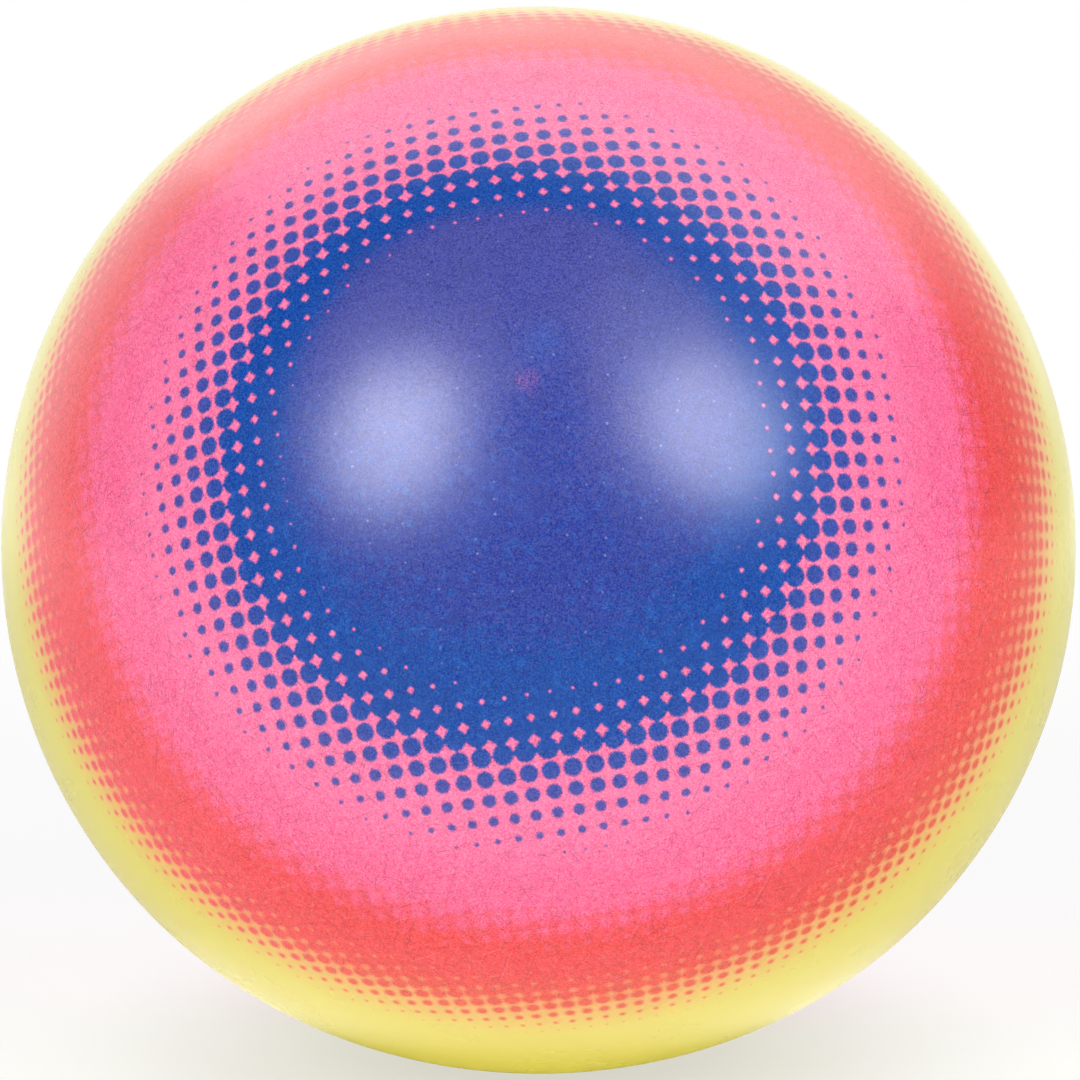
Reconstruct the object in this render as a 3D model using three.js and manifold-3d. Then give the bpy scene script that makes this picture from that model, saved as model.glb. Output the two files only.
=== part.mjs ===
// An inflated, printed play ball: a moulded hollow skin, the valve seat fused under it and a push-in plug.
// Millimetres, +Z up. The origin is the middle of the flat foot that the ball rests on.
// The ball lies as it is shown: the printed front faces -Y and a little up, the valve leans back from the top.
import * as THREE from 'three';
import { mergeVertices } from 'three/addons/utils/BufferGeometryUtils.js';
import Module from 'manifold-3d';

// Skin
const ballRadius = 115;
const wall = 0.7;
const leanBack = THREE.MathUtils.degToRad(17);

// Sag of the soft skin at rest, as heights over the round ball and angles from straight down
const footDrop = 1.1;
const footDropReach = THREE.MathUtils.degToRad(50);
const sideBulge = 0.8;
const sideBulgeReach = THREE.MathUtils.degToRad(125);
const footRadius = 12;

// Pad: the thicker skin round the valve
const padThickness = 1.6;
const padRadius = 19;
const padTaper = 6;

// Valve seat
const neckRadius = 7;
const flangeRadius = 16;
const flangeThickness = 1.4;
const stemRadius = 4.6;
const stemTipRadius = 3.6;
const stemLength = 15;
const stemTipTaper = 4;
const boreRadius = 2.3;
const seatRadius = 4.7;
const seatDepth = 1.4;
const faceInset = 0.15;

// Plug
const headThickness = 1.9;
const headDome = 0.5;
const headEdge = 0.45;
const plugCoreRadius = 1.5;
const plugStemLength = 14;
const plugTipRadius = 1.1;
const plugTipTaper = 2.6;
const barbCount = 3;
const barbLength = 1.5;
const barbPitch = 2.8;
const barbRoot = 1.6;

// Clearances
const bondGap = 0.3;
const headGap = 0.3;
const plugGap = 0.25;

// Facets
const skinSegments = 56;
const skinRings = 28;
const valveSegments = 32;
const capRings = 4;

// Printed rings, as angles from the middle of each printed face
const ringStops = [
  { angle: 0, colour: '#2c54b4' },
  { angle: 26, colour: '#2c54b4' },
  { angle: 36, colour: '#f97fae' },
  { angle: 45, colour: '#f97fae' },
  { angle: 52, colour: '#f56a64' },
  { angle: 58, colour: '#f56a64' },
  { angle: 66, colour: '#e8dd7c' },
  { angle: 90, colour: '#e8dd7c' },
];

const wasm = await Module();
wasm.setup();

// Distance from the ball's middle to the outside of the skin, by the angle from straight down.
function skinRadius(fromFoot) {
  const drop = Math.cos((Math.PI / 2) * Math.min(1, fromFoot / footDropReach)) ** 2;
  const bulge = Math.sin(Math.PI * Math.min(1, fromFoot / sideBulgeReach)) ** 2;
  return ballRadius - footDrop * drop + sideBulge * bulge;
}

// The angle at which the skin leaves the floor.
function footAngle() {
  let angle = 0;
  for (let step = 0; step < 8; step++) {
    angle = Math.asin(footRadius / skinRadius(angle));
  }
  return angle;
}

const footEdge = footAngle();
const restHeight = skinRadius(footEdge) * Math.cos(footEdge);
const valveSurface = skinRadius(Math.PI - leanBack);
const padInside = valveSurface - padThickness;
const flangeOutside = padInside - bondGap;
const flangeInside = flangeOutside - flangeThickness;
const faceRadius = valveSurface - faceInset;
const seatFloor = faceRadius - seatDepth;
const stemTip = flangeInside - stemLength;
const headUnderside = seatFloor + headGap;
const headTop = headUnderside + headThickness;
const headRadius = seatRadius - headGap;
const barbRadius = boreRadius - plugGap;
const plugTip = headUnderside - plugStemLength;

// A profile of (radius, height) points turned about Z.
function revolve(profile, segments) {
  const points = profile.map(([radius, height]) => new THREE.Vector2(Math.max(0, radius), height));
  return new THREE.LatheGeometry(points, segments).rotateX(Math.PI / 2);
}

// Points of a round cap about the ball's middle, from one distance off the axis to another.
function capArc(radius, fromAxis, toAxis) {
  const start = Math.asin(fromAxis / radius);
  const end = Math.asin(toAxis / radius);
  return Array.from({ length: capRings + 1 }, (_, i) => {
    const angle = start + ((end - start) * i) / capRings;
    return [radius * Math.sin(angle), radius * Math.cos(angle)];
  });
}

// The skin's outline at a depth below its outside, from the foot to the top.
function skinProfile(depth) {
  const ring = Array.from({ length: skinRings + 1 }, (_, i) => {
    const angle = footEdge + ((Math.PI - footEdge) * i) / skinRings;
    const radius = skinRadius(angle) - depth;
    return [radius * Math.sin(angle), -radius * Math.cos(angle)];
  });
  const foot = [0, ring[0][1]];
  return [foot, ...ring];
}

function toSolid(geometry) {
  const bare = geometry.clone();
  bare.deleteAttribute('normal');
  bare.deleteAttribute('uv');
  const merged = mergeVertices(bare);
  const vertProperties = merged.attributes.position.array;
  const triVerts = new Uint32Array(merged.index.array);
  return new wasm.Manifold(new wasm.Mesh({ numProp: 3, vertProperties, triVerts }));
}

function toGeometry(solid) {
  const mesh = solid.getMesh();
  const geometry = new THREE.BufferGeometry();
  geometry.setAttribute('position', new THREE.BufferAttribute(mesh.vertProperties, 3));
  geometry.setIndex(new THREE.BufferAttribute(mesh.triVerts, 1));
  geometry.computeVertexNormals();
  return geometry;
}

// The pad fills the cavity under the valve, and thins out into the wall round its rim.
function padGeometry() {
  const cavityRadius = valveSurface - wall;
  const flatRadius = padRadius - padTaper;
  const rim = [padRadius, Math.sqrt(cavityRadius ** 2 - padRadius ** 2)];
  const outside = [padRadius, valveSurface];
  const middle = [0, valveSurface];
  const profile = [...capArc(padInside, 0, flatRadius), rim, outside, middle];
  return revolve(profile, valveSegments);
}

function openingGeometry() {
  const radius = neckRadius + bondGap;
  const inner = padInside - padThickness;
  const outer = valveSurface + padThickness;
  const profile = [[0, inner], [radius, inner], [radius, outer], [0, outer]];
  return revolve(profile, valveSegments);
}

// The print fades from the middle of each face to the plain band between the two.
function paintRings(geometry) {
  const printAxis = new THREE.Vector3(0, -Math.cos(leanBack), Math.sin(leanBack));
  const position = geometry.attributes.position;
  const colours = new Float32Array(position.count * 3);
  const point = new THREE.Vector3();
  const colour = new THREE.Color();
  for (let i = 0; i < position.count; i++) {
    point.fromBufferAttribute(position, i).normalize();
    const angle = THREE.MathUtils.radToDeg(Math.acos(Math.min(1, Math.abs(point.dot(printAxis)))));
    const next = Math.max(1, ringStops.findIndex((stop) => stop.angle >= angle));
    const inner = ringStops[next - 1];
    const outer = ringStops[next];
    const share = (angle - inner.angle) / (outer.angle - inner.angle);
    colour.set(inner.colour).lerp(new THREE.Color(outer.colour), share);
    colour.toArray(colours, i * 3);
  }
  geometry.setAttribute('color', new THREE.BufferAttribute(colours, 3));
}

function ballShell() {
  const lean = new THREE.Matrix4().makeRotationX(-leanBack);
  const outside = toSolid(revolve(skinProfile(0), skinSegments));
  const pad = toSolid(padGeometry().applyMatrix4(lean));
  const opening = toSolid(openingGeometry().applyMatrix4(lean));
  const cavity = toSolid(revolve(skinProfile(wall), skinSegments)).subtract(pad);
  const geometry = toGeometry(outside.subtract(cavity).subtract(opening));
  paintRings(geometry);
  const material = new THREE.MeshStandardMaterial({ vertexColors: true, roughness: 0.45, metalness: 0 });
  const mesh = new THREE.Mesh(geometry, material);
  mesh.name = 'ball_shell';
  return mesh;
}

function valveBody() {
  const stem = [
    [boreRadius, stemTip],
    [stemTipRadius, stemTip],
    [stemRadius, stemTip + stemTipTaper],
  ];
  const flangeUnder = capArc(flangeInside, stemRadius, flangeRadius);
  const flangeOver = capArc(flangeOutside, flangeRadius, neckRadius);
  const face = capArc(faceRadius, neckRadius, seatRadius);
  const seat = [
    [seatRadius, seatFloor],
    [boreRadius, seatFloor],
    [boreRadius, stemTip],
  ];
  const geometry = revolve([...stem, ...flangeUnder, ...flangeOver, ...face, ...seat], valveSegments);
  const material = new THREE.MeshStandardMaterial({ color: '#e6dfb0', roughness: 0.5, metalness: 0 });
  const mesh = new THREE.Mesh(geometry, material);
  mesh.name = 'valve_body';
  return mesh;
}

// One barb: it widens slowly away from the tip, so that it goes in easily, and steps back sharply.
function barb(index) {
  const start = plugTip + plugTipTaper + barbRoot + index * barbPitch;
  return [
    [plugCoreRadius, start],
    [barbRadius, start + barbLength],
    [plugCoreRadius, start + barbLength],
  ];
}

function valvePlug() {
  const tip = [
    [0, plugTip],
    [plugTipRadius, plugTip],
    [plugCoreRadius, plugTip + plugTipTaper],
  ];
  const barbs = Array.from({ length: barbCount }, (_, index) => barb(index)).flat();
  const head = [
    [plugCoreRadius, headUnderside],
    [headRadius, headUnderside],
    [headRadius, headTop - headEdge - headDome],
    [headRadius - headEdge, headTop - headDome],
    [0, headTop],
  ];
  const geometry = revolve([...tip, ...barbs, ...head], valveSegments);
  const material = new THREE.MeshStandardMaterial({ color: '#f2efe6', roughness: 0.4, metalness: 0 });
  const mesh = new THREE.Mesh(geometry, material);
  mesh.name = 'valve_plug';
  return mesh;
}

const valve = new THREE.Group();
valve.rotation.x = -leanBack;
valve.add(valveBody(), valvePlug());

const ball = new THREE.Group();
ball.position.z = restHeight;
ball.add(ballShell(), valve);

const part = new THREE.Group();
part.add(ball);

export default part;
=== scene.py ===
"""A soft inflated play ball with a halftone print, its valve seat and its push-in stopper."""
import math
from collections import namedtuple
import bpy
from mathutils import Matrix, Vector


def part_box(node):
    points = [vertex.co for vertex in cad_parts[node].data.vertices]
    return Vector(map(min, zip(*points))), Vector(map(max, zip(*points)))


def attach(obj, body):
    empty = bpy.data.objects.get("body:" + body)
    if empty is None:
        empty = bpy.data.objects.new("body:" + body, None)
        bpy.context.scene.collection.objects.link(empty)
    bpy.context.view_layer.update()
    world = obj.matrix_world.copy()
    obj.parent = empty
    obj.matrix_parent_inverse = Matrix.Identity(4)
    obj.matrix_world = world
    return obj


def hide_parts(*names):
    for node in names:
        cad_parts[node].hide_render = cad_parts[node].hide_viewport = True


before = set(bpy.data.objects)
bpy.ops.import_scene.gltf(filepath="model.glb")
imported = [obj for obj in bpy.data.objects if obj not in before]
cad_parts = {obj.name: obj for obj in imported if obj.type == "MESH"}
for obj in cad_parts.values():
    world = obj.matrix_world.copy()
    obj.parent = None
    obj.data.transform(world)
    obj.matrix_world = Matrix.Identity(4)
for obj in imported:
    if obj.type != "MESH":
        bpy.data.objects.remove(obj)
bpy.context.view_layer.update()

from types import SimpleNamespace

import bmesh
import bpy
from mathutils import Matrix, Quaternion, Vector

bl_info = {
    "name": "Printed play ball",
    "version": (1, 0, 0),
    "blender": (4, 5, 0),
    "location": "View3D > Sidebar > Play Ball",
    "description": "Builds an inflated play ball with a halftone print and a valve",
    "category": "Object",
}

MM = 0.001
BALL_RADIUS_MM = 115
SHELL_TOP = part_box("ball_shell")[1].z
REST_HEIGHT = SHELL_TOP - BALL_RADIUS_MM * MM
MIDDLE = (0, 0, REST_HEIGHT)

# Facets of the meshes
SKIN_SEGMENTS = 256
SKIN_RINGS = 190
INSIDE_RINGS = 70
PAD_STEPS = 4
SEAT_SEGMENTS = 112
STOPPER_SEGMENTS = 96
FLOOR_SEGMENTS = 96
ROUNDING_STEPS = 4
FINE_ROUNDING_STEPS = 3
BARB_COUNT = 3

# Halftone screens, laid out flat round the print's middle, with the pitch in radians on the ball
Screen = namedtuple("Screen", "pitch turn phase")
BLUE_DOTS = Screen(0.03818, 9.164, (2.1586, -18.1336))
BLUE_HOLES = Screen(0.03818, 9.164, (2.6586, -17.6336))
PINK_ISLANDS = Screen(0.03915, 9.195, (-0.248, 0.198))
RED_DOTS = Screen(0.03058, 9.575, (0.6312, -30.7905))
RED_PINHOLES = Screen(0.03058, 9.575, (1.1312, -30.2905))
SCREEN_TILT = (math.radians(-6.867), math.radians(-0.3325), 0)
PRINT_MIDDLE = (0.0058, -0.1199, 0)
INDIGO_MIDDLE = (0.0058, -0.0849, 0)
PINK_SPOT = (0.0142, -0.0238, 0)
THIN_PATCH = (0.042, 0.045, 0)
RIM_START = 0.237

# Sizes of the blue dots, and of the holes in the blue, by the distance from the print's middle
DOT_SIZES = (
    (0, 0.90), (0.349, 0.87), (0.403, 0.79), (0.442, 0.745), (0.48, 0.69), (0.506, 0.642),
    (0.541, 0.586), (0.576, 0.515), (0.611, 0.435), (0.646, 0.365),
    (0.66, 0.315), (0.675, 0.265), (0.69, 0.21), (0.705, 0.12), (0.72, 0), (1, 0),
)
HOLE_SIZES = (
    (0, 0), (0.365, 0.01), (0.384, 0.06), (0.403, 0.16), (0.442, 0.26), (0.48, 0.36),
    (0.495, 0.42), (0.51, 0.52), (0.53, 0.70), (0.55, 1), (1, 1),
)

# Hairline creases, drawn as dark lines of painted shade and pale lines of painted highlight: direction in
# degrees, length, share of the cells that hold one, seed
CREASES = ((18, 0.12, 0.055, 1.3), (71, 0.16, 0.055, 4.1), (134, 0.11, 0.055, 7.7))
# Leather wrinkles, drawn as dark lines of painted shade: scale and seed
WRINKLES = ((13, 3.7), (27, 8.9), (52, 5.3))
# Dark colour painted into the wrinkles and creases: painted shade.
CREASE_SHADE = (0.03, 0.012, 0.05)
DUST = (0.55, 0.66, 0.95)

WHITE = (1, 1, 1)
FLOOR_RADIUS = 40.0
FLOOR_DROP = 0.0002
FLOOR_MIRRORED = (0.36, 0.36, 0.36)
FLOOR_LOOKED_AT = (0.22, 0.22, 0.22)
FILL_DISTANCE = 1.4
GLOSS_DISTANCE = 1.3
BACK_DIRECTION = (0.0, 0.99, 0.13)
BACK_SIZE = 0.8
HALF_IMAGE = 540
AIM_RIGHT, AIM_UP = 1.4, 1.6


def tint(code):
    """Linear colour of a web colour code."""
    parts = [int(code[i : i + 2], 16) / 255 for i in (1, 3, 5)]
    return tuple(p / 12.92 if p <= 0.04045 else ((p + 0.055) / 1.055) ** 2.4 for p in parts)


def length(name, default, description):
    """A length property in metres, given in millimetres."""
    return bpy.props.FloatProperty(
        name=name,
        description=description,
        default=default * MM,
        min=0,
        unit="LENGTH",
        subtype="DISTANCE",
        precision=5,
    )


def angle(name, default, description):
    """An angle property, given in degrees."""
    return bpy.props.FloatProperty(
        name=name, description=description, default=math.radians(default), unit="ROTATION", subtype="ANGLE"
    )


def colour(name, default, description):
    """A colour property, given as a web colour code."""
    return bpy.props.FloatVectorProperty(
        name=name, description=description, default=tint(default), size=3, min=0, max=1, subtype="COLOR"
    )


def watts(name, default, description):
    """A lamp's power."""
    return bpy.props.FloatProperty(name=name, description=description, default=default, min=0, unit="POWER")


class BallSkinSizes(bpy.types.PropertyGroup):
    """Sizes of the moulded skin and of its sag at rest"""

    radius: length("Radius", BALL_RADIUS_MM, "Radius of the blown-up ball")
    wall: length("Wall", 0.7, "Thickness of the skin")
    lean: angle("Lean", 17, "How far the valve leans back from the top")
    foot_drop: length("Foot drop", 1.1, "How far the skin sinks over the foot")
    foot_reach: angle("Foot reach", 50, "Angle from straight down at which the sinking ends")
    side_bulge: length("Side bulge", 0.8, "How far the low sides swell")
    side_reach: angle("Side reach", 125, "Angle from straight down at which the swelling ends")
    pad_thickness: length("Pad thickness", 1.6, "Thickness of the skin round the valve")
    pad_radius: length("Pad radius", 19, "Radius at which the pad meets the wall")
    pad_flat: length("Pad flat", 13, "Radius at which the pad begins to thin")
    opening: length("Opening", 7.3, "Radius of the hole for the valve")
    lip: length("Lip", 0.3, "Rounding of the rim of the hole")


class BallPrintInks(bpy.types.PropertyGroup):
    """Colours of the print"""

    blue: colour("Blue", "#00489d", "Blue ring")
    indigo: colour("Indigo", "#324298", "Middle of the blue disc, where the inks lie over each other")
    violet: colour("Violet", "#484d9a", "Cloudy patches in the middle of the blue disc")
    cyan: colour("Cyan", "#1c62b4", "Flecks in the low part of the blue disc")
    spot: colour("Spot", "#2c62b6", "Thin patch of ink above the middle of the print")
    dot_blue: colour("Dot blue", "#184ca2", "Free-standing blue dots")
    pink: colour("Pink", "#fb6e9a", "Pink ring")
    pale_pink: colour("Pale pink", "#fb7ca6", "Pink between the blue dots")
    # Pale crease lines: a painted highlight along the creases.
    crease_highlight: colour("Worn", "#f0e2ea", "Pale hairline creases, where the ink is thin")
    red: colour("Red", "#f04b4d", "Red ring, pink ink over yellow")
    rose: colour("Rose red", "#f3525a", "Red ring on the left, where the yellow ink lies thinner")
    deep_red: colour("Deep red", "#f0463c", "Red ring on the right, where the yellow ink lies thicker")
    rim_red: colour("Rim red", "#e8502c", "Red dots on the plain band")
    peach: colour("Peach", "#f98f68", "Gaps between the red dots")
    yellow: colour("Yellow", "#e3d856", "Plain band")


class ValveSizes(bpy.types.PropertyGroup):
    """Sizes and colours of the valve seat and of its stopper; heights are from the ball's middle"""

    neck: length("Neck", 7, "Radius of the face that shows in the hole")
    flange: length("Flange", 16, "Radius of the flange under the pad")
    stem: length("Stem", 4.6, "Radius of the tube inside the ball")
    stem_tip: length("Stem tip", 3.6, "Radius of the tube at its end")
    bore: length("Bore", 2.3, "Radius of the air way")
    seat: length("Seat", 4.7, "Radius of the recess for the stopper's head")
    stem_end: length("Stem end", 96.7, "Height of the tube's end")
    stem_shoulder: length("Stem shoulder", 100.7, "Height at which the tube's end begins to taper")
    flange_inside: length("Flange inside", 111.7, "Height of the flange's inner face")
    flange_outside: length("Flange outside", 113.1, "Height of the flange's outer face")
    face: length("Face", 114.85, "Height of the face that shows in the hole")
    seat_floor: length("Seat floor", 113.45, "Height of the recess's floor")
    seat_rounding: length("Seat rounding", 0.22, "Rounding of the seat's edges")
    head: length("Head", 4.4, "Radius of the stopper's head")
    core: length("Core", 1.5, "Radius of the stopper's stem")
    barb: length("Barb", 2.05, "Radius of the stopper's barbs")
    tip: length("Tip", 1.1, "Radius of the stopper's tip")
    tip_end: length("Tip end", 99.75, "Height of the stopper's tip")
    tip_taper: length("Tip taper", 2.6, "Length of the stopper's tapered tip")
    barb_root: length("Barb root", 1.6, "Plain stem between the tip and the first barb")
    barb_length: length("Barb length", 1.5, "Length of one barb")
    barb_pitch: length("Barb pitch", 2.8, "From one barb to the next")
    head_under: length("Head underside", 113.75, "Height of the head's underside")
    head_top: length("Head top", 115.65, "Height of the head's top")
    head_edge: length("Head edge", 0.45, "Chamfer round the head")
    head_dome: length("Head dome", 0.5, "Rise of the head's domed top")
    stopper_rounding: length("Stopper rounding", 0.14, "Rounding of the stopper's edges")
    seat_colour: colour("Seat colour", "#e4d890", "Soft plastic of the valve seat")
    stopper_colour: colour("Stopper colour", "#efeade", "Plastic of the stopper")


class StudioSettings(bpy.types.PropertyGroup):
    """Light, floor and camera"""

    floor_colour: colour("Floor", "#ececec", "Colour of the floor")
    fill_left: watts("Left fill", 7.65, "Power of the left soft box on the colours")
    fill_right: watts("Right fill", 6.5, "Power of the right soft box on the colours")
    fill_top: watts("Top fill", 7.0, "Power of the soft box above on the colours")
    fill_back: watts("Back fill", 7.0, "Power of the soft box behind on the colours")
    gloss_left: watts("Left gloss", 10.5, "Power of the left soft box in the gloss")
    gloss_right: watts("Right gloss", 9.5, "Power of the right soft box in the gloss")
    gloss_top: watts("Top gloss", 17.0, "Power of the soft box above in the gloss")
    card: watts("Card", 1.0, "Power of the small card over the right soft box")
    sky: bpy.props.FloatProperty(
        name="Sky", description="Light from the upper half of the room", default=0.32, min=0
    )
    azimuth: angle("Azimuth", 1.86, "Camera angle round the ball")
    elevation: angle("Elevation", 7.81, "Camera angle above the ball's middle")
    distance: length("Distance", 690, "From the camera to the ball's middle")
    view: angle("View", 19.36, "Camera's angle of view")


class Wires:
    """Adds shader nodes to a node tree and joins their sockets."""

    def __init__(self, owner):
        owner.use_nodes = True
        self.tree = owner.node_tree
        self.tree.nodes.clear()

    def add(self, kind, inputs=None, **settings):
        node = self.tree.nodes.new(kind)
        for name, value in settings.items():
            setattr(node, name, value)
        for key, value in (inputs or {}).items():
            self.put(node.inputs[key], value)
        return node

    def put(self, socket, value):
        if isinstance(value, bpy.types.NodeSocket):
            self.tree.links.new(value, socket)
        elif socket.type == "RGBA" and len(value) == 3:
            socket.default_value = (*value, 1)
        else:
            socket.default_value = value

    def math(self, operation, first, second=None, clamp=False):
        node = self.add("ShaderNodeMath", {0: first}, operation=operation, use_clamp=clamp)
        if second is not None:
            self.put(node.inputs[1], second)
        return node.outputs[0]

    def plus(self, first, second, clamp=False):
        return self.math("ADD", first, second, clamp)

    def minus(self, first, second):
        return self.math("SUBTRACT", first, second)

    def times(self, first, second):
        return self.math("MULTIPLY", first, second)

    def most(self, first, second):
        return self.math("MAXIMUM", first, second)

    def vector(self, operation, first, second=None, scale=None):
        node = self.add("ShaderNodeVectorMath", {0: first}, operation=operation)
        if second is not None:
            self.put(node.inputs[1], second)
        if scale is not None:
            self.put(node.inputs["Scale"], scale)
        return node.outputs["Value" if operation in ("DISTANCE", "LENGTH") else "Vector"]

    def split(self, vector):
        return self.add("ShaderNodeSeparateXYZ", {0: vector}).outputs

    def turn(self, vector, kind="POINT", location=(0, 0, 0), rotation=(0, 0, 0), scale=(1, 1, 1)):
        inputs = {"Vector": vector, "Location": location, "Rotation": rotation, "Scale": scale}
        return self.add("ShaderNodeMapping", inputs, vector_type=kind).outputs[0]

    def step(self, value, low, high, to_low=0.0, to_high=1.0, smooth=True):
        kind = "SMOOTHSTEP" if smooth else "LINEAR"
        inputs = {"Value": value, "From Min": low, "From Max": high, "To Min": to_low, "To Max": to_high}
        return self.add("ShaderNodeMapRange", inputs, interpolation_type=kind).outputs[0]

    def curve(self, value, points):
        node = self.add("ShaderNodeFloatCurve", {"Value": value})
        line = node.mapping.curves[0]
        while len(line.points) < len(points):
            line.points.new(0.5, 0.5)
        for point, place in zip(line.points, points):
            point.location = place
            point.handle_type = "VECTOR"
        node.mapping.update()
        return node.outputs[0]

    def mix(self, share, first, second, blend="MIX"):
        node = self.add("ShaderNodeMix", data_type="RGBA", blend_type=blend, clamp_factor=True)
        self.put(node.inputs[0], share)
        self.put(node.inputs[6], first)
        self.put(node.inputs[7], second)
        return node.outputs[2]

    def choose(self, share, first, second):
        return self.add("ShaderNodeMix", {0: share, 2: first, 3: second}).outputs[0]

    def grey(self, value):
        return self.add("ShaderNodeCombineColor", {channel: value for channel in range(3)}).outputs[0]

    def noise(self, vector, scale, detail=2.0, roughness=0.5):
        inputs = {"Vector": vector, "Scale": scale, "Detail": detail, "Roughness": roughness}
        return self.add("ShaderNodeTexNoise", inputs).outputs["Fac"]

    def centred_noise(self, vector, scale, detail=2.0, roughness=0.5):
        return self.minus(self.noise(vector, scale, detail, roughness), 0.5)

    def cells(self, vector, scale=1.0, feature="F1"):
        inputs = {"Vector": vector, "Scale": scale}
        return self.add("ShaderNodeTexVoronoi", inputs, voronoi_dimensions="2D", feature=feature).outputs


def from_dot(w, plane, screen, ragged):
    """Distance from the nearest dot's middle on a square screen, in pitches, with a ragged edge."""
    cell = w.turn(
        plane,
        location=(screen.phase[0] + 0.5, 0.5 - screen.phase[1], 0),
        rotation=(0, 0, -math.radians(screen.turn)),
        scale=(1 / screen.pitch, 1 / screen.pitch, 0),
    )
    inside = w.vector("FRACTION", cell)
    return w.plus(w.vector("DISTANCE", inside, (0.5, 0.5, 0)), ragged)


def creases(w, plane, turn, reach, share, seed):
    """Thin hairlines along one direction, as a mask of the dark ones, painted as shade, and a mask of the
    pale ones, painted as highlight.
    """
    wander = w.noise(w.turn(plane, location=(seed, 0, 0)), 6.0)
    bent = w.vector("ADD", plane, w.vector("SCALE", (0.6, 1.0, 0), scale=w.times(wander, 0.05)))
    lines = w.turn(bent, "TEXTURE", (seed, seed * 2, 0), (0, 0, math.radians(turn)), (reach, 1 / 330, 1))
    cell = w.cells(lines)
    picked = w.add("ShaderNodeSeparateColor", {0: cell["Color"]}).outputs
    line = w.times(w.step(cell["Distance"], 0.42, 0.1), w.math("LESS_THAN", picked[0], share))
    pale = w.times(line, w.math("LESS_THAN", picked[1], 0.4))
    return w.minus(line, pale), pale


def wrinkles(w, plane, scale, seed):
    """Broken, wandering leather wrinkles, as a mask for painted shade and for the bump."""
    shift = w.turn(plane, location=(seed, -seed, 0))
    wander = w.add("ShaderNodeTexNoise", {"Vector": shift, "Scale": scale * 0.7, "Detail": 2.0})
    bent = w.vector("ADD", shift, w.vector("SCALE", wander.outputs["Color"], scale=0.9 / scale))
    edge = w.cells(bent, scale, "DISTANCE_TO_EDGE")["Distance"]
    kept = w.step(w.noise(shift, scale * 0.6), 0.5, 0.62)
    return w.times(w.step(edge, 0.0016 * scale, 0.0004 * scale), kept)


def print_place(w, skin):
    """Where a point lies in the print: round the front face, and the same mirrored on the back."""
    place = w.add("ShaderNodeTexCoord").outputs["Object"]
    facing = w.turn(place, "TEXTURE", location=MIDDLE, rotation=(math.pi / 2 - skin.lean, 0, 0))
    right, up, out = w.split(w.vector("NORMALIZE", facing))
    out_of_face = w.math("ABSOLUTE", out)
    front = w.add("ShaderNodeCombineXYZ", {0: right, 1: up, 2: out_of_face}).outputs[0]
    tilted = w.turn(front, "TEXTURE", rotation=SCREEN_TILT)
    reach = w.math("ARCCOSINE", w.split(tilted)[2])
    flat = w.vector("MULTIPLY", tilted, (1, 1, 0))
    shrink = w.math("SINE", reach)
    plane = w.vector("SCALE", flat, scale=w.math("DIVIDE", reach, shrink))
    rim_stretch = w.math("DIVIDE", w.minus(reach, RIM_START), shrink)
    return SimpleNamespace(
        place=place,
        right=right,
        from_middle=w.math("DEGREES", w.math("ARCCOSINE", out_of_face)),
        plane=plane,
        rim_plane=w.vector("SCALE", flat, scale=rim_stretch),
        ring=w.vector("DISTANCE", plane, PRINT_MIDDLE),
    )


def ink_noise(w, place):
    """Uneven spread of the ink, from fine grit to broad clouds, each about zero."""
    grit = w.centred_noise(place, 3300, 2.0, 0.6)
    return SimpleNamespace(
        grit=grit,
        ragged=w.times(grit, 0.16),
        wear=w.centred_noise(place, 2700, 2.0, 0.7),
        fleck=w.centred_noise(place, 1150, 2.0, 0.6),
        mottle=w.centred_noise(place, 520, 3.0, 0.65),
        cloud=w.centred_noise(place, 42, 3.0, 0.6),
    )


def blue_cover(w, spot, uneven):
    """Share of blue ink: a disc with holes that breaks up into dots."""
    dot_away = from_dot(w, spot.plane, BLUE_DOTS, uneven.ragged)
    hole_away = from_dot(w, spot.plane, BLUE_HOLES, uneven.ragged)
    dot = w.step(w.minus(w.curve(spot.ring, DOT_SIZES), dot_away), 0.085, 0.235)
    hole = w.step(w.minus(w.curve(spot.ring, HOLE_SIZES), hole_away), 0.04, 0.16)
    cover = w.most(dot, w.minus(1.0, hole))
    return w.times(cover, w.step(spot.ring, 0.49, 0.66, 1.0, 0.89, smooth=False))


def pink_cover(w, spot, uneven):
    """Share of clean pink, which turns to red in islands as the yellow ink under it closes in."""
    from_edge = w.minus(spot.from_middle, w.times(w.most(spot.right, 0.0), 1.6))
    island_away = from_dot(w, spot.plane, PINK_ISLANDS, uneven.ragged)
    island_size = w.step(spot.from_middle, 43.5, 52.5, 0.78, 0.02, smooth=False)
    island = w.step(w.minus(island_size, island_away), -0.2, 0.2, -0.2, 0.2)
    zone = w.times(w.step(spot.from_middle, 43, 46), w.step(spot.from_middle, 54, 51))
    cover = w.plus(w.step(from_edge, 55, 41), w.times(island, zone))
    return w.plus(cover, w.times(uneven.mottle, 0.18), clamp=True)


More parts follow.
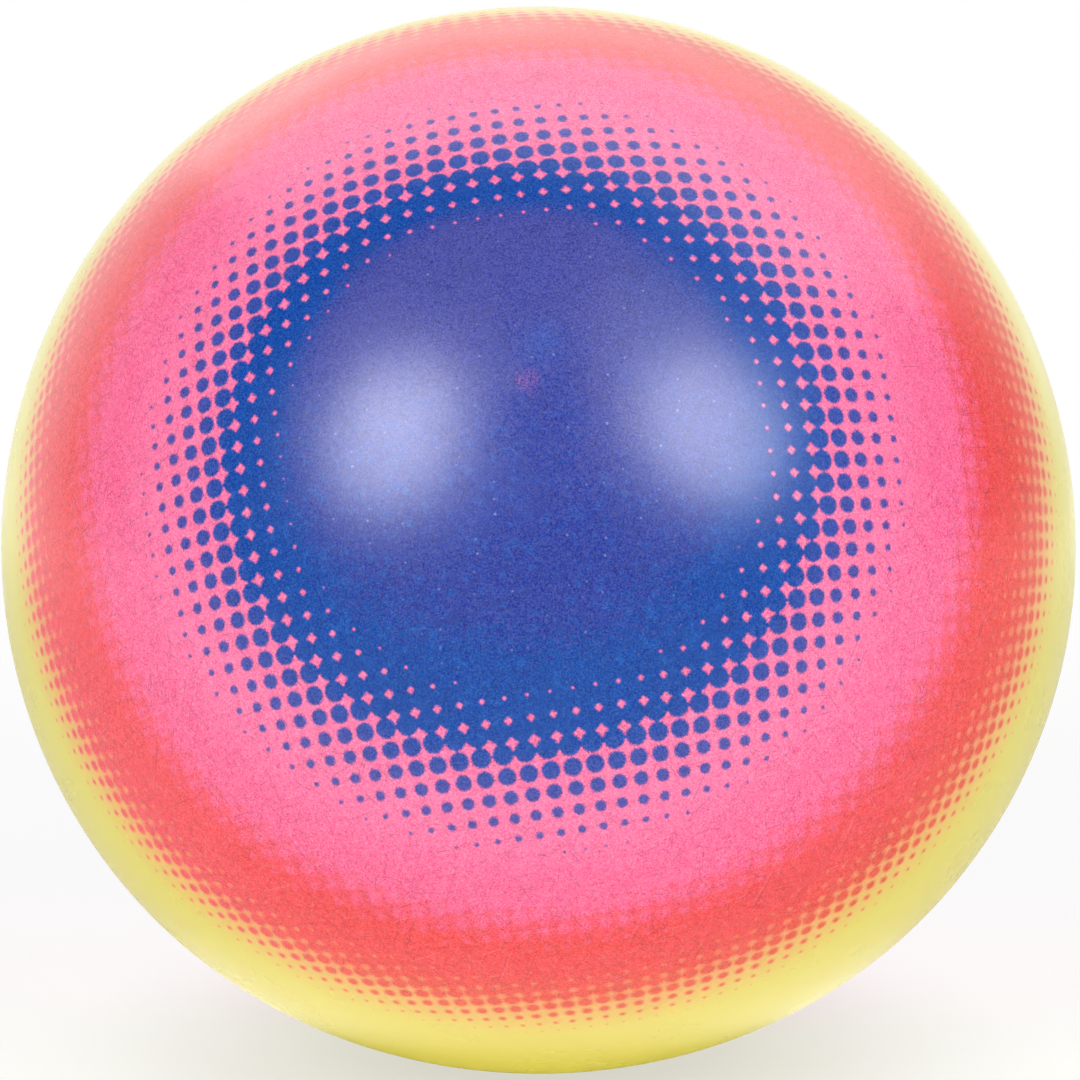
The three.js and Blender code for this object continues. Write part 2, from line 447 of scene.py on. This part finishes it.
def warm_rings(w, spot, uneven, inks, pink_share):
    """Pink and red rings, whose edge breaks up into red dots on the bare band."""
    from_rim = w.minus(spot.from_middle, w.step(spot.right, 0.55, 0.90, 0.5, 2.4))
    dot_away = from_dot(w, spot.rim_plane, RED_DOTS, uneven.ragged)
    dot_size = w.step(from_rim, 54.6, 67.6, 0.85, -0.12, smooth=False)
    dot = w.step(w.minus(dot_size, dot_away), -0.16, 0.16)
    pinhole_away = from_dot(w, spot.rim_plane, RED_PINHOLES, uneven.ragged)
    pinhole_size = w.step(spot.from_middle, 54, 60, 0.0, 0.36, smooth=False)
    pinhole = w.step(w.minus(pinhole_size, pinhole_away), -0.10, 0.14, 0.0, 0.6)
    dot = w.math("MINIMUM", dot, w.minus(1.0, pinhole))

    pink = w.mix(w.step(spot.from_middle, 44, 36), inks.pink, inks.pale_pink)
    red = w.mix(w.step(spot.right, 0.6, 0.85), inks.red, inks.deep_red)
    red = w.mix(w.step(from_rim, 54, 62), red, inks.rim_red)
    red = w.mix(w.step(spot.right, -0.2, -0.6), red, inks.rose)
    gap = w.mix(w.step(from_rim, 56, 68), inks.peach, inks.yellow)
    return w.mix(dot, gap, w.mix(pink_share, red, pink))


def blue_ink(w, spot, uneven, inks):
    """Blue ink: indigo and mottled in the middle, clean in the ring, a little warmer in the free dots."""
    blotch = w.plus(w.times(uneven.cloud, 0.22), w.times(uneven.fleck, 0.30))
    from_indigo = w.vector("DISTANCE", spot.plane, INDIGO_MIDDLE)
    ink = w.mix(w.step(w.plus(from_indigo, blotch), 0.42, 0.31), inks.blue, inks.indigo)

    across, upper = w.split(spot.plane)[:2]
    # The violet share grows towards the top of the disc and is held back on its right side.
    upper = w.plus(upper, w.times(w.plus(uneven.cloud, uneven.fleck), 0.45))
    violet_share = w.times(w.step(upper, -0.22, 0.10), w.step(from_indigo, 0.42, 0.34))
    violet_share = w.times(violet_share, w.step(across, 0.12, 0.26, 1.0, 0.5))
    ink = w.mix(violet_share, ink, inks.violet)
    cyan_share = w.times(w.step(uneven.mottle, 0.02, 0.22), w.step(upper, 0.02, -0.20, 0.0, 0.45))
    ink = w.mix(cyan_share, ink, inks.cyan)
    ink = w.mix(w.step(spot.ring, 0.43, 0.56), ink, inks.dot_blue)

    from_patch = w.minus(w.vector("DISTANCE", spot.plane, THIN_PATCH), w.times(uneven.cloud, 0.08))
    ink = w.mix(w.step(from_patch, 0.065, 0.0, 0.0, 0.3), ink, inks.spot)
    from_spot = w.plus(w.vector("DISTANCE", spot.plane, PINK_SPOT), w.times(uneven.mottle, 0.05))
    pink_grit = w.times(w.step(uneven.grit, -0.04, 0.12), w.step(from_spot, 0.028, 0.0, 0.0, 0.26))
    return w.mix(pink_grit, ink, inks.pink)


def leathery_grain(w, spot, uneven, base, blue, pink_share):
    """Grain in the ink, with hardly any on the bare band."""
    printed = w.step(spot.from_middle, 68, 58, 0.06, 1.0)
    coarse = w.plus(w.step(pink_share, 0.0, 1.0, 0.36, 0.5), w.times(blue, 1.1))
    rough = w.plus(w.times(uneven.grit, coarse), w.times(uneven.mottle, 0.3))
    base = w.mix(1.0, base, w.grey(w.plus(1.0, w.times(rough, printed))), "MULTIPLY")
    thin = w.minus(w.step(pink_share, 0.0, 1.0, 0.27, 0.52), w.times(blue, 0.36))
    thin = w.times(w.minus(uneven.wear, 0.02), thin)
    thin = w.plus(thin, w.times(uneven.fleck, w.step(blue, 0.0, 1.0, 0.12, 0.03)))
    return w.mix(1.0, base, w.grey(w.times(thin, printed)), "ADD")


def crease_shade_and_highlight(w, spot, inks, base, blue):
    """Leather wrinkles and hairline creases over the ink, as painted shade in the dark lines and painted
    highlight in the pale ones; also returns the mask of the dark ones.
    """
    wrinkle = crease = pale = 0.0
    for scale, seed in WRINKLES:
        wrinkle = w.most(wrinkles(w, spot.plane, scale, seed), wrinkle)
    for turn, reach, share, seed in CREASES:
        dark_line, pale_line = creases(w, spot.plane, turn, reach, share, seed)
        crease = w.most(dark_line, crease)
        pale = w.most(pale_line, pale)
    inked = w.step(spot.from_middle, 66, 58)
    dark = w.times(w.most(w.times(wrinkle, 0.18), w.times(crease, 0.3)), inked)
    pale = w.times(pale, w.minus(inked, blue))
    # Painted shade in the dark lines of the wrinkles and creases.
    base = w.mix(dark, base, CREASE_SHADE)
    # Painted highlight in the pale crease lines.
    return w.mix(w.times(pale, 0.1), base, inks.crease_highlight), dark


def dust_specks(w, spot, uneven, base):
    """Pale specks of dust in the blue."""
    cell = w.cells(spot.plane, 34)
    picked = w.add("ShaderNodeSeparateColor", {0: cell["Color"]}).outputs
    reach = w.step(picked[1], 0.0, 1.0, 0.05, 0.10)
    speck = w.step(w.minus(w.plus(cell["Distance"], uneven.ragged), reach), 0.0, -0.06)
    speck = w.times(speck, w.step(picked[0], 0.5, 1.0, 0.0, 0.26))
    speck = w.times(speck, w.step(spot.ring, 0.45, 0.30))
    return w.mix(speck, base, DUST)


def printed_skin(inks, skin):
    """The printed, softly glossy skin."""
    material = bpy.data.materials.new("printed_skin")
    w = Wires(material)
    spot = print_place(w, skin)
    uneven = ink_noise(w, spot.place)
    blue = blue_cover(w, spot, uneven)
    pink_share = pink_cover(w, spot, uneven)
    base = w.mix(blue, warm_rings(w, spot, uneven, inks, pink_share), blue_ink(w, spot, uneven, inks))
    base = leathery_grain(w, spot, uneven, base, blue, pink_share)
    base, dark = crease_shade_and_highlight(w, spot, inks, base, blue)
    base = dust_specks(w, spot, uneven, base)

    relief = w.plus(w.times(uneven.grit, 0.6), w.times(uneven.mottle, 0.35))
    relief = w.minus(relief, w.times(dark, 0.7))
    strength = w.step(spot.from_middle, 64, 52, 0.0, 0.25)
    bump = w.add("ShaderNodeBump", {"Strength": strength, "Distance": 0.00012, "Height": relief}).outputs[0]
    shine = w.step(w.noise(spot.place, 60), 0.3, 0.7, 0.24, 0.28)
    shader = w.add(
        "ShaderNodeBsdfPrincipled",
        {"Base Color": base, "Roughness": shine, "Normal": bump, "IOR": 1.5, "Specular IOR Level": 0.5},
    )
    w.add("ShaderNodeOutputMaterial", {"Surface": shader.outputs[0]})
    return material


def soft_plastic(name, tone, roughness, depth):
    """Soft moulded plastic with a faint cloudiness and a fine matt grain."""
    material = bpy.data.materials.new(name)
    w = Wires(material)
    place = w.add("ShaderNodeTexCoord").outputs["Object"]
    cloud = w.noise(place, 260, 3.0, 0.6)
    grain = w.noise(place, 3600, 2.0, 0.6)
    dark = tuple(c * 0.82 for c in tone)
    base = w.mix(w.step(cloud, 0.35, 0.7), tone, dark)
    base = w.mix(w.step(grain, 0.62, 0.8, 0.0, 0.16), base, dark)
    bump = w.add("ShaderNodeBump", {"Strength": 0.15, "Distance": 0.0001, "Height": grain}).outputs[0]
    shine = w.step(cloud, 0.3, 0.7, roughness - 0.05, roughness + 0.06)
    shader = w.add(
        "ShaderNodeBsdfPrincipled",
        {
            "Base Color": base,
            "Roughness": shine,
            "Normal": bump,
            "Subsurface Weight": 0.25,
            "Subsurface Scale": depth,
        },
    )
    w.add("ShaderNodeOutputMaterial", {"Surface": shader.outputs[0]})
    return material


def pen_at(bm, radius, height):
    """First point of a profile in the XZ plane."""
    return bm.verts.new((radius, 0, height))


def line_to(bm, pen, radius, height):
    """Draws a straight profile edge and returns its end."""
    made = bmesh.ops.extrude_vert_indiv(bm, verts=[pen])
    pen = made["verts"][0]
    pen.co = (radius, 0, height)
    return pen


def arc_by(bm, pen, degrees, steps):
    """Draws a profile arc about the ball's middle; a positive angle goes down from the top."""
    made = bmesh.ops.spin(
        bm,
        geom=[pen],
        cent=(0, 0, 0),
        axis=(0, 1, 0),
        angle=math.radians(degrees),
        steps=steps,
        use_duplicate=False,
    )
    return next(item for item in made["geom_last"] if isinstance(item, bmesh.types.BMVert))


def round_corners(bm, corners, radius, steps):
    """Rounds corners of a drawn profile."""
    bmesh.ops.bevel(
        bm,
        geom=corners,
        offset=radius,
        offset_type="OFFSET",
        segments=steps,
        profile=0.5,
        affect="VERTICES",
        material=-1,
    )


def turn_profile(bm, segments):
    """Spins the drawn profile into a closed body."""
    bmesh.ops.spin(
        bm,
        geom=bm.verts[:] + bm.edges[:],
        cent=(0, 0, 0),
        axis=(0, 0, 1),
        angle=math.tau,
        steps=segments,
        use_merge=True,
        use_duplicate=False,
    )
    bmesh.ops.remove_doubles(bm, verts=bm.verts[:], dist=1e-7)
    bmesh.ops.dissolve_degenerate(bm, edges=bm.edges[:], dist=1e-8)


def lean_back(bm, lean):
    """Leans a body that was made upright about the valve's axis."""
    bmesh.ops.transform(bm, matrix=Matrix.Rotation(-lean, 4, "X"), verts=bm.verts[:])


def lift(bm):
    """Lifts a body made about the origin to the ball's middle."""
    bmesh.ops.translate(bm, verts=bm.verts[:], vec=MIDDLE)


def finish_piece(bm, name, material, sharp=35):
    """Turns a bmesh into a smooth-shaded object at the origin."""
    bmesh.ops.recalc_face_normals(bm, faces=bm.faces[:])
    if bm.calc_volume(signed=True) < 0:
        bmesh.ops.reverse_faces(bm, faces=bm.faces[:])
    for face in bm.faces:
        face.smooth = True
    limit = math.radians(sharp)
    for edge in bm.edges:
        edge.smooth = edge.calc_face_angle(0) < limit
    mesh = bpy.data.meshes.new(name)
    bm.to_mesh(mesh)
    bm.free()
    mesh.materials.append(material)
    piece = bpy.data.objects.new(name, mesh)
    bpy.context.scene.collection.objects.link(piece)
    return piece


def skin_swell(skin, from_foot):
    """How far the resting skin lies outside the round ball, by the angle from straight down."""
    drop = math.cos(math.pi / 2 * min(1, from_foot / skin.foot_reach)) ** 2
    bulge = math.sin(math.pi * min(1, from_foot / skin.side_reach)) ** 2
    return skin.side_bulge * bulge - skin.foot_drop * drop


def at_distance(radius, away):
    """A profile point at a distance from the axis and at a distance from the ball's middle."""
    return radius, math.sqrt(away**2 - radius**2)


class OBJECT_OT_ball_skin(bpy.types.Operator):
    """Make the moulded skin with its pad, its opening and its print"""

    bl_idname = "object.ball_skin"
    bl_label = "Ball skin"

    def execute(self, context):
        skin = context.scene.ball_skin
        bm = bmesh.new()
        hole = math.degrees(math.asin(skin.opening / skin.radius))
        inner = skin.radius - skin.wall
        pad_inside = skin.radius - skin.pad_thickness
        pen = pen_at(bm, 0, -skin.radius)
        pen = rim = arc_by(bm, pen, -(180 - hole), SKIN_RINGS)
        pen = corner = line_to(bm, pen, *at_distance(skin.opening, pad_inside))
        flat = math.degrees(math.asin(skin.pad_flat / pad_inside) - math.asin(skin.opening / pad_inside))
        pen = arc_by(bm, pen, flat, PAD_STEPS)
        pen = line_to(bm, pen, *at_distance(skin.pad_radius, inner))
        arc_by(bm, pen, 180 - math.degrees(math.asin(skin.pad_radius / inner)), INSIDE_RINGS)
        round_corners(bm, [rim, corner], skin.lip, ROUNDING_STEPS)
        turn_profile(bm, SKIN_SEGMENTS)
        lean_back(bm, skin.lean)
        down = Vector((0, 0, -1))
        for vert in bm.verts:
            away = vert.co.length
            from_foot = vert.co.angle(down)
            vert.co *= (away + skin_swell(skin, from_foot)) / away
        lift(bm)
        bmesh.ops.recalc_face_normals(bm, faces=bm.faces[:])
        # The foot is pressed flat: each face of the wall is cut at its level, and what is below is raised
        for level in (0.0, skin.wall):
            cut = bm.verts[:] + bm.edges[:] + bm.faces[:]
            bmesh.ops.bisect_plane(bm, geom=cut, dist=1e-7, plane_co=(0, 0, level), plane_no=(0, 0, 1))
        middle = Vector(MIDDLE)
        half_way = skin.radius - skin.foot_drop - skin.wall / 2
        for vert in bm.verts:
            deep = (vert.co - middle).length < half_way
            vert.co.z = max(vert.co.z, skin.wall if deep else 0.0)
        piece = finish_piece(bm, "ball_skin", printed_skin(context.scene.ball_inks, skin))
        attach(piece, "ball")
        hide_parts("ball_shell")
        return {"FINISHED"}


class OBJECT_OT_valve_seat(bpy.types.Operator):
    """Make the valve seat: the face in the hole, the flange under the pad and the tube"""

    bl_idname = "object.valve_seat"
    bl_label = "Valve seat"

    def execute(self, context):
        valve = context.scene.ball_valve
        bm = bmesh.new()
        points = [
            (valve.bore, valve.stem_end),
            (valve.stem_tip, valve.stem_end),
            (valve.stem, valve.stem_shoulder),
            at_distance(valve.stem, valve.flange_inside),
            at_distance(valve.flange, valve.flange_inside),
            at_distance(valve.flange, valve.flange_outside),
            at_distance(valve.neck, valve.flange_outside),
            at_distance(valve.neck, valve.face),
            at_distance(valve.seat, valve.face),
            (valve.seat, valve.seat_floor),
            (valve.bore, valve.seat_floor),
        ]
        pen = first = pen_at(bm, *points[0])
        for point in points[1:]:
            pen = line_to(bm, pen, *point)
        bm.edges.new((pen, first))
        round_corners(bm, bm.verts[:], valve.seat_rounding, ROUNDING_STEPS)
        turn_profile(bm, SEAT_SEGMENTS)
        lean_back(bm, context.scene.ball_skin.lean)
        lift(bm)
        plastic = soft_plastic("valve_soft_plastic", valve.seat_colour, roughness=0.48, depth=0.0012)
        piece = finish_piece(bm, "valve_seat", plastic)
        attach(piece, "ball")
        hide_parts("valve_body")
        return {"FINISHED"}


class OBJECT_OT_valve_stopper(bpy.types.Operator):
    """Make the push-in stopper with its barbs and domed head"""

    bl_idname = "object.valve_stopper"
    bl_label = "Valve stopper"

    def execute(self, context):
        valve = context.scene.ball_valve
        bm = bmesh.new()
        stem_start = valve.tip_end + valve.tip_taper
        points = [(valve.tip, valve.tip_end), (valve.core, stem_start)]
        for index in range(BARB_COUNT):
            start = stem_start + valve.barb_root + valve.barb_pitch * index
            end = start + valve.barb_length
            points += [(valve.core, start), (valve.barb, end), (valve.core, end)]
        shoulder = valve.head_top - valve.head_dome
        points += [
            (valve.core, valve.head_under),
            (valve.head, valve.head_under),
            (valve.head, shoulder - valve.head_edge),
            (valve.head - valve.head_edge, shoulder),
        ]
        pen = pen_at(bm, 0, valve.tip_end)
        for point in points:
            pen = line_to(bm, pen, *point)
        line_to(bm, pen, 0, valve.head_top)
        off_axis = [vert for vert in bm.verts if vert.co.x > 1e-6]
        round_corners(bm, off_axis, valve.stopper_rounding, FINE_ROUNDING_STEPS)
        turn_profile(bm, STOPPER_SEGMENTS)
        lean_back(bm, context.scene.ball_skin.lean)
        lift(bm)
        plastic = soft_plastic("stopper_plastic", valve.stopper_colour, roughness=0.38, depth=0.0008)
        piece = finish_piece(bm, "valve_stopper", plastic)
        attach(piece, "plug")
        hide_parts("valve_plug")
        return {"FINISHED"}


def floor_paper(studio):
    """Pale floor that keeps the ball's shadow, with a painted shadow round the ball's foot and a painted
    bounce glow, strongest near the ball, and runs out to white, with its own levels in the gloss.
    """
    material = bpy.data.materials.new("floor_paper")
    w = Wires(material)
    path = w.add("ShaderNodeLightPath").outputs
    looked = w.most(path["Is Camera Ray"], path["Is Transmission Ray"])
    mirrored = path["Is Glossy Ray"]
    spot = w.add("ShaderNodeTexCoord").outputs["Object"]
    away = w.vector("LENGTH", spot)
    across, deep = w.split(spot)[:2]
    ahead = w.step(deep, -0.10, -0.35, 1.0, 0.18)

    # On diffuse rays the floor glows, most near the ball: painted bounce light that lights the ball's
    # underside.
    painted_bounce_glow = w.step(away, 0.04, 0.16, 0.44, 0.18)
    # The lift to white is lower near the ball, so the floor is painted darker round the foot: a painted
    # shadow over the real one.
    lift_with_painted_shadow = w.step(away, 0.03, 0.12, 0.56, 0.79)
    bounce = w.times(w.step(away, 0.042, 0.066, 0.0, 0.9), w.step(away, 0.07, 0.12, 1.0, 0.5))
    bounce = w.times(bounce, ahead)
    near = w.plus(painted_bounce_glow, w.times(looked, w.minus(lift_with_painted_shadow, painted_bounce_glow)))
    near = w.plus(near, w.times(mirrored, w.minus(bounce, painted_bounce_glow)))
    tone = w.mix(looked, w.mix(mirrored, studio.floor_colour, FLOOR_MIRRORED), FLOOR_LOOKED_AT)
    paper = w.add("ShaderNodeBsdfDiffuse", {"Color": tone})
    glowing = w.add("ShaderNodeEmission", {"Color": WHITE, "Strength": near})
    close_by = w.add("ShaderNodeAddShader", {0: paper.outputs[0], 1: glowing.outputs[0]})

    over = w.times(ahead, w.step(across, 0.5, 1.0, 0.3, 0.0))
    level = w.most(looked, w.plus(ahead, w.times(mirrored, over)))
    white = w.add("ShaderNodeEmission", {"Color": WHITE, "Strength": level})
    far = w.times(w.most(looked, mirrored), w.step(away, 0.35, 1.3))
    sweep = w.add("ShaderNodeMixShader", {0: far, 1: close_by.outputs[0], 2: white.outputs[0]})
    w.add("ShaderNodeOutputMaterial", {"Surface": sweep.outputs[0]})
    return material


def studio_room(studio):
    """White room, bright round the horizon, with its own levels on the colours and in the gloss."""
    room = bpy.data.worlds.new("studio")
    w = Wires(room)
    path = w.add("ShaderNodeLightPath").outputs
    right, back, up = w.split(w.add("ShaderNodeTexCoord").outputs["Generated"])
    wall = w.step(up, math.sin(math.radians(9)), math.sin(math.radians(24)), 1.0, studio.sky)
    matt = w.times(wall, w.step(back, 0.2, 0.8, 0.80, 0.5))
    matt = w.times(matt, w.step(right, -0.5, 0.5, 1.1, 0.9))
    gloss = w.step(up, math.sin(math.radians(22)), math.sin(math.radians(42)), 1.3, 0.3)
    gloss = w.times(gloss, w.step(back, 0.1, 0.7, 0.06, 1.0))
    gloss = w.times(gloss, w.step(right, 0.4, 0.9, 1.0, 0.4))
    level = w.choose(path["Is Diffuse Ray"], wall, matt)
    level = w.choose(path["Is Glossy Ray"], level, gloss)
    level = w.most(level, w.most(path["Is Camera Ray"], path["Is Transmission Ray"]))
    sky = w.add("ShaderNodeBackground", {"Color": WHITE, "Strength": level})
    w.add("ShaderNodeOutputWorld", {"Surface": sky.outputs[0]})
    return room


def soft_box(name, power, width, height, toward, distance, roll=0, shape="ELLIPSE"):
    """An area lamp that looks at the ball's middle."""
    area = bpy.data.lights.new(name, "AREA")
    area.shape = shape
    area.size, area.size_y = width, height
    area.energy = power
    box = bpy.data.objects.new(name, area)
    box.visible_camera = False
    box.location = Vector(MIDDLE) + Vector(toward) * distance
    aimed = (Vector(MIDDLE) - box.location).to_track_quat("-Z", "Y")
    box.rotation_euler = (aimed @ Quaternion((0, 0, 1), math.radians(roll))).to_euler()
    bpy.context.scene.collection.objects.link(box)
    return box


def studio_lamps(studio):
    """Soft boxes, each as one lamp on the colours and one in the gloss."""
    left, right = (-0.4285, -0.7770, 0.4612), (0.5577, -0.6842, 0.4700)
    over_right, top = (0.37, -0.55, 0.745), (0.12, 0.44, 0.89)
    boxes = (
        ("left", studio.fill_left, studio.gloss_left, 0.58, 0.67, left, -18, "ELLIPSE"),
        ("right", studio.fill_right, studio.gloss_right, 0.61, 0.68, right, 45, "ELLIPSE"),
        ("card", studio.card, studio.card, 0.55, 0.55, over_right, 0, "ELLIPSE"),
        ("top", studio.fill_top, studio.gloss_top, 2.8, 1.3, top, 0, "RECTANGLE"),
    )
    for name, fill, gloss, width, height, toward, roll, shape in boxes:
        matt = soft_box("fill_" + name, fill, width, height, toward, FILL_DISTANCE, roll, shape)
        matt.visible_glossy = False
        shiny = soft_box("gloss_" + name, gloss, width, height, toward, GLOSS_DISTANCE, roll, shape)
        shiny.visible_diffuse = False
    behind = soft_box("fill_back", studio.fill_back, BACK_SIZE, BACK_SIZE, BACK_DIRECTION, FILL_DISTANCE)
    behind.visible_glossy = False


def studio_camera(studio):
    """The camera, aimed a pixel or two off the ball's middle."""
    turn, rise = studio.azimuth, studio.elevation
    side = Vector((math.cos(turn), math.sin(turn), 0))
    back = Vector((math.sin(turn) * math.cos(rise), -math.cos(turn) * math.cos(rise), math.sin(rise)))
    camera = bpy.data.objects.new("camera", bpy.data.cameras.new("camera"))
    camera.data.sensor_fit = "HORIZONTAL"
    camera.data.angle = studio.view
    middle = Vector(MIDDLE)
    camera.location = middle + back * studio.distance
    pixel = studio.distance * math.tan(studio.view / 2) / HALF_IMAGE
    aim = middle + side * pixel * AIM_RIGHT + back.cross(side) * pixel * AIM_UP
    camera.rotation_euler = (aim - camera.location).to_track_quat("-Z", "Y").to_euler()
    return camera


class SCENE_OT_ball_stage(bpy.types.Operator):
    """Make the floor, the soft studio light and the camera"""

    bl_idname = "scene.ball_stage"
    bl_label = "Stage"

    def execute(self, context):
        scene = context.scene
        studio = scene.ball_studio
        bm = bmesh.new()
        below = Matrix.Translation((0, 0, -FLOOR_DROP))
        bmesh.ops.create_circle(
            bm, cap_ends=True, segments=FLOOR_SEGMENTS, radius=FLOOR_RADIUS, matrix=below
        )
        floor = finish_piece(bm, "floor", floor_paper(studio))
        scene.world = studio_room(studio)
        studio_lamps(studio)
        camera = studio_camera(studio)
        scene.collection.objects.link(camera)
        scene.camera = camera
        scene.view_settings.view_transform = "Standard"
        return {"FINISHED"}


class VIEW3D_PT_play_ball(bpy.types.Panel):
    """Lists the pieces of the ball"""

    bl_idname = "VIEW3D_PT_play_ball"
    bl_label = "Play Ball"
    bl_space_type = "VIEW_3D"
    bl_region_type = "UI"
    bl_category = "Play Ball"

    def draw(self, context):
        for operator in PIECES:
            self.layout.operator(operator.bl_idname)
        for group in GROUPS:
            settings = getattr(context.scene, group)
            for name in settings.__annotations__:
                self.layout.prop(settings, name)


PIECES = (OBJECT_OT_ball_skin, OBJECT_OT_valve_seat, OBJECT_OT_valve_stopper, SCENE_OT_ball_stage)
GROUPS = {
    "ball_skin": BallSkinSizes,
    "ball_inks": BallPrintInks,
    "ball_valve": ValveSizes,
    "ball_studio": StudioSettings,
}


def register():
    for item in (*GROUPS.values(), *PIECES, VIEW3D_PT_play_ball):
        bpy.utils.register_class(item)
    for name, group in GROUPS.items():
        setattr(bpy.types.Scene, name, bpy.props.PointerProperty(type=group))


def unregister():
    for name in GROUPS:
        delattr(bpy.types.Scene, name)
    for item in reversed((*GROUPS.values(), *PIECES, VIEW3D_PT_play_ball)):
        bpy.utils.unregister_class(item)


def main():
    register()
    bpy.ops.object.ball_skin()
    bpy.ops.object.valve_seat()
    bpy.ops.object.valve_stopper()
    bpy.ops.scene.ball_stage()
    bpy.context.view_layer.update()


if __name__ == "__main__":
    main()
